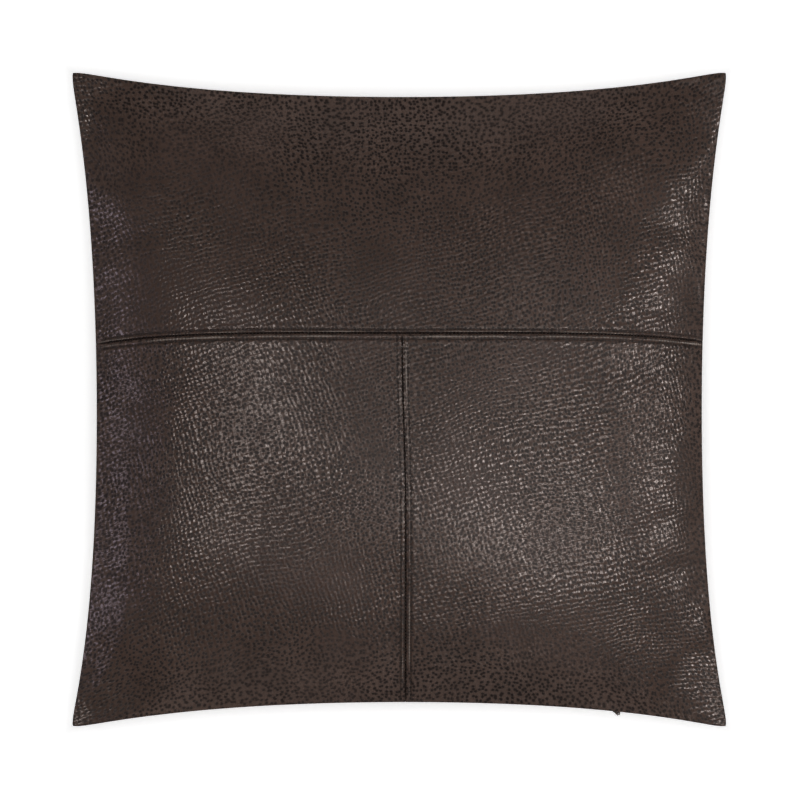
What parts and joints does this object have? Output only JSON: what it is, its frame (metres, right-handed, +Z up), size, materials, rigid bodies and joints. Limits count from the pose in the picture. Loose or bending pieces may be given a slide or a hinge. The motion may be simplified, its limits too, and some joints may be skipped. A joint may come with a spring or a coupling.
{
  "type": "throw pillow",
  "caption": "Square knife-edge throw pillow lying flat: pieced, topstitched faux-leather cover with a concealed zip, over a filled insert.",
  "frame": {"origin": "on the floor under the middle of the pillow, which lies on its back", "axes": "+Z up, out of the pieced front; +Y up the front, away from the zip; +X to the right of the front"},
  "size_m": [0.5356, 0.5356, 0.152],
  "materials": {
    "faux_leather": "satin",
    "thread": "matte",
    "label_cloth": "matte",
    "zip_tape": "matte",
    "zip_coil": "satin",
    "zip_metal": "satin",
    "casing_cloth": "matte",
    "casing_thread": "matte",
    "fibre": "matte"
  },
  "bodies": {
    "cover": {"front_upper_panel": "faux_leather", "front_lower_left_panel": "faux_leather", "front_lower_right_panel": "faux_leather", "back_panel": "faux_leather", "horizontal_seam_thread": "thread", "vertical_seam_thread": "thread", "topstitch_horizontal_upper": "thread", "topstitch_horizontal_lower": "thread", "topstitch_vertical_left": "thread", "topstitch_vertical_right": "thread", "perimeter_seam_thread": "thread", "care_label": "label_cloth", "zip_tape_front": "zip_tape", "zip_tape_back": "zip_tape", "zip_coil_front": "zip_coil", "zip_coil_back": "zip_coil", "zip_stitching_front": "thread", "zip_stitching_back": "thread", "zip_bartack_left": "thread", "zip_bartack_right": "thread", "insert_casing_front": "casing_cloth", "insert_casing_back": "casing_cloth", "insert_seam_thread": "casing_thread", "insert_fill": "fibre"},
    "slider": {"zip_slider": "zip_metal"},
    "pull": {"zip_pull": "zip_metal"}
  },
  "joints": [
    {"name": "slider_travel", "type": "hinge", "parent": "cover", "child": "slider", "pos_m": [0.0036, -2.12775, 0.068], "axis": [0, 0, 1], "range_deg": [0, 10.72]},
    {"name": "pull_swing", "type": "hinge", "parent": "slider", "child": "pull", "pos_m": [0.17916, -0.25792, 0.068], "axis": [-0.9956, 0.0935, 0], "range_deg": [-20, 200]}
  ]
}
